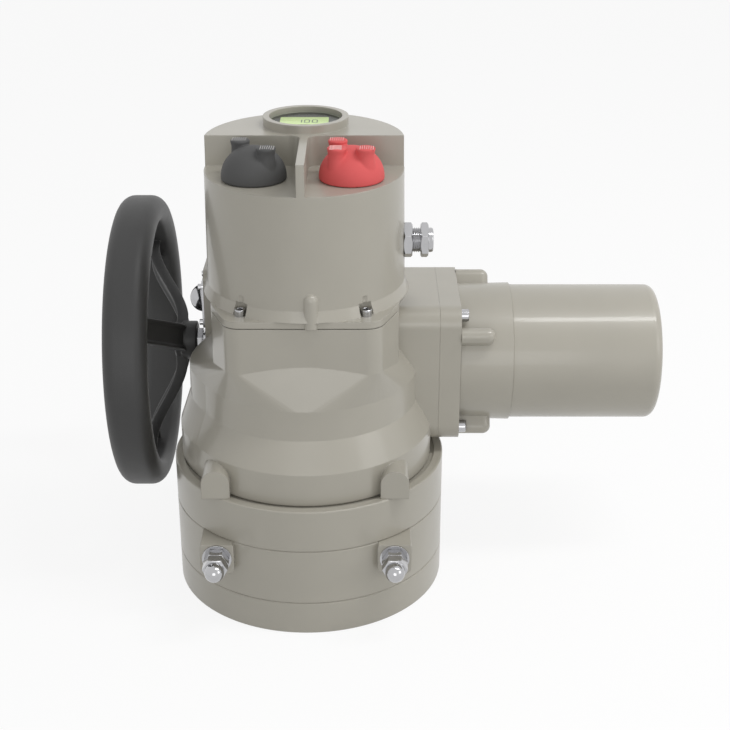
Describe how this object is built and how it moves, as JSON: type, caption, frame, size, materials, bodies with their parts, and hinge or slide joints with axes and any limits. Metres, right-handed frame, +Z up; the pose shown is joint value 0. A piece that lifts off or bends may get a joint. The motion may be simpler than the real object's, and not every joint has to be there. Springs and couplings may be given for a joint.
{
  "type": "quarter-turn electric valve actuator",
  "caption": "Quarter-turn electric valve actuator: geared base with travel stops, side motor, handwheel, and a top cover with display and control knobs.",
  "frame": {"origin": "centre of the mounting face on the output axis, at the level the actuator stands on", "axes": "+Z up along the output axis, +X towards the motor, -Y towards the operator's side with knobs and stop screws"},
  "size_m": [0.4231, 0.3046, 0.3605],
  "materials": {
    "paint": "semi-gloss warm grey paint",
    "steel": "turned steel",
    "chrome": "bright plated",
    "bronze": "bearing bronze",
    "gear_steel": "hobbed steel",
    "iron": "machined casting",
    "rubber": "black rubber",
    "washer": "dark washer",
    "wheel_black": "black grained plastic",
    "knob_black": "black moulded plastic",
    "knob_red": "red moulded plastic",
    "glass": "flat window",
    "lcd": "display",
    "board": "circuit board",
    "terminal": "terminal strip",
    "copper": "wound stator"
  },
  "bodies": {
    "housing": {"base_flange": "paint", "stop_housing": "paint", "ring_gear": "paint", "gear_housing": "paint", "clamp_screws": "steel", "lower_bush": "bronze", "upper_bush": "bronze", "thrust_washer": "bronze", "stop_screws": "chrome", "stop_lock_nuts": "chrome", "stop_washers": "washer", "stop_cap_nuts": "chrome", "bearing_plate": "iron", "sun_bearings": "steel", "worm_bearings": "steel", "hand_bush": "bronze", "hand_seal": "rubber", "motor_adapter": "paint", "adapter_screws": "chrome", "motor_bell": "paint", "motor_barrel": "paint", "motor_stator": "copper", "motor_bearings": "steel", "cover": "paint", "cover_gasket": "rubber", "cover_screws": "chrome", "window_glass": "glass", "display_module": "lcd", "control_board": "board", "board_posts": "steel", "terminal_block": "terminal", "gland_body": "chrome", "gland_nut": "chrome", "gland_seal": "rubber", "blanking_plate": "chrome", "plate_screws": "chrome", "dome_plug": "chrome"},
    "output": {"drive_sleeve": "gear_steel", "drive_insert": "gear_steel", "planet_pins": "gear_steel", "planet_bushes": "bronze", "carrier_cap": "gear_steel"},
    "planet_1": {"planet_gear_1": "gear_steel"},
    "planet_2": {"planet_gear_2": "gear_steel"},
    "planet_3": {"planet_gear_3": "gear_steel"},
    "sun": {"sun_shaft": "gear_steel", "worm_wheel": "bronze", "wheel_nut": "steel", "position_disc": "terminal"},
    "worm": {"worm_shaft": "gear_steel", "hand_gear": "gear_steel", "coupling": "gear_steel", "motor_rotor": "iron"},
    "hand": {"hand_shaft": "steel", "handwheel": "wheel_black", "handwheel_nut": "chrome"},
    "selector": {"selector_knob": "knob_black"},
    "control": {"control_knob": "knob_red"}
  },
  "joints": [
    {"name": "worm_turn", "type": "hinge", "parent": "housing", "child": "worm", "pos_m": [0, 0.043, 0.168], "axis": [1, 0, 0], "range_deg": [0, 12672]},
    {"name": "handwheel_turn", "type": "hinge", "parent": "housing", "child": "hand", "pos_m": [-0.1, 0.065, 0.168], "axis": [1, 0, 0], "range_deg": [-12672, 0]},
    {"name": "sun_turn", "type": "hinge", "parent": "housing", "child": "sun", "pos_m": [0, 0, 0.15], "axis": [0, 0, 1], "range_deg": [0, 396]},
    {"name": "output_turn", "type": "hinge", "parent": "housing", "child": "output", "pos_m": [0, 0, 0.05], "axis": [0, 0, 1], "range_deg": [0, 90]},
    {"name": "planet_turn_1", "type": "hinge", "parent": "output", "child": "planet_1", "pos_m": [0, 0.0495, 0.089], "axis": [0, 0, 1], "range_deg": [-255, 0]},
    {"name": "planet_turn_2", "type": "hinge", "parent": "output", "child": "planet_2", "pos_m": [-0.04287, -0.02475, 0.089], "axis": [0, 0, 1], "range_deg": [-255, 0]},
    {"name": "planet_turn_3", "type": "hinge", "parent": "output", "child": "planet_3", "pos_m": [0.04287, -0.02475, 0.089], "axis": [0, 0, 1], "range_deg": [-255, 0]},
    {"name": "selector_turn", "type": "hinge", "parent": "housing", "child": "selector", "pos_m": [-0.0346, -0.0273, 0.34], "axis": [0, 0, 1], "range_deg": [-45, 45]},
    {"name": "control_turn", "type": "hinge", "parent": "housing", "child": "control", "pos_m": [0.0346, -0.0273, 0.34], "axis": [0, 0, 1], "range_deg": [-30, 30], "stiffness_Nm_per_rad": 0.05}
  ],
  "couplings": [
    {"joint": "handwheel_turn", "follows": "worm_turn", "ratio": -1},
    {"joint": "sun_turn", "follows": "worm_turn", "ratio": 0.03125},
    {"joint": "output_turn", "follows": "worm_turn", "ratio": 0.0071023},
    {"joint": "planet_turn_1", "follows": "worm_turn", "ratio": -0.020123},
    {"joint": "planet_turn_2", "follows": "worm_turn", "ratio": -0.020123},
    {"joint": "planet_turn_3", "follows": "worm_turn", "ratio": -0.020123}
  ]
}
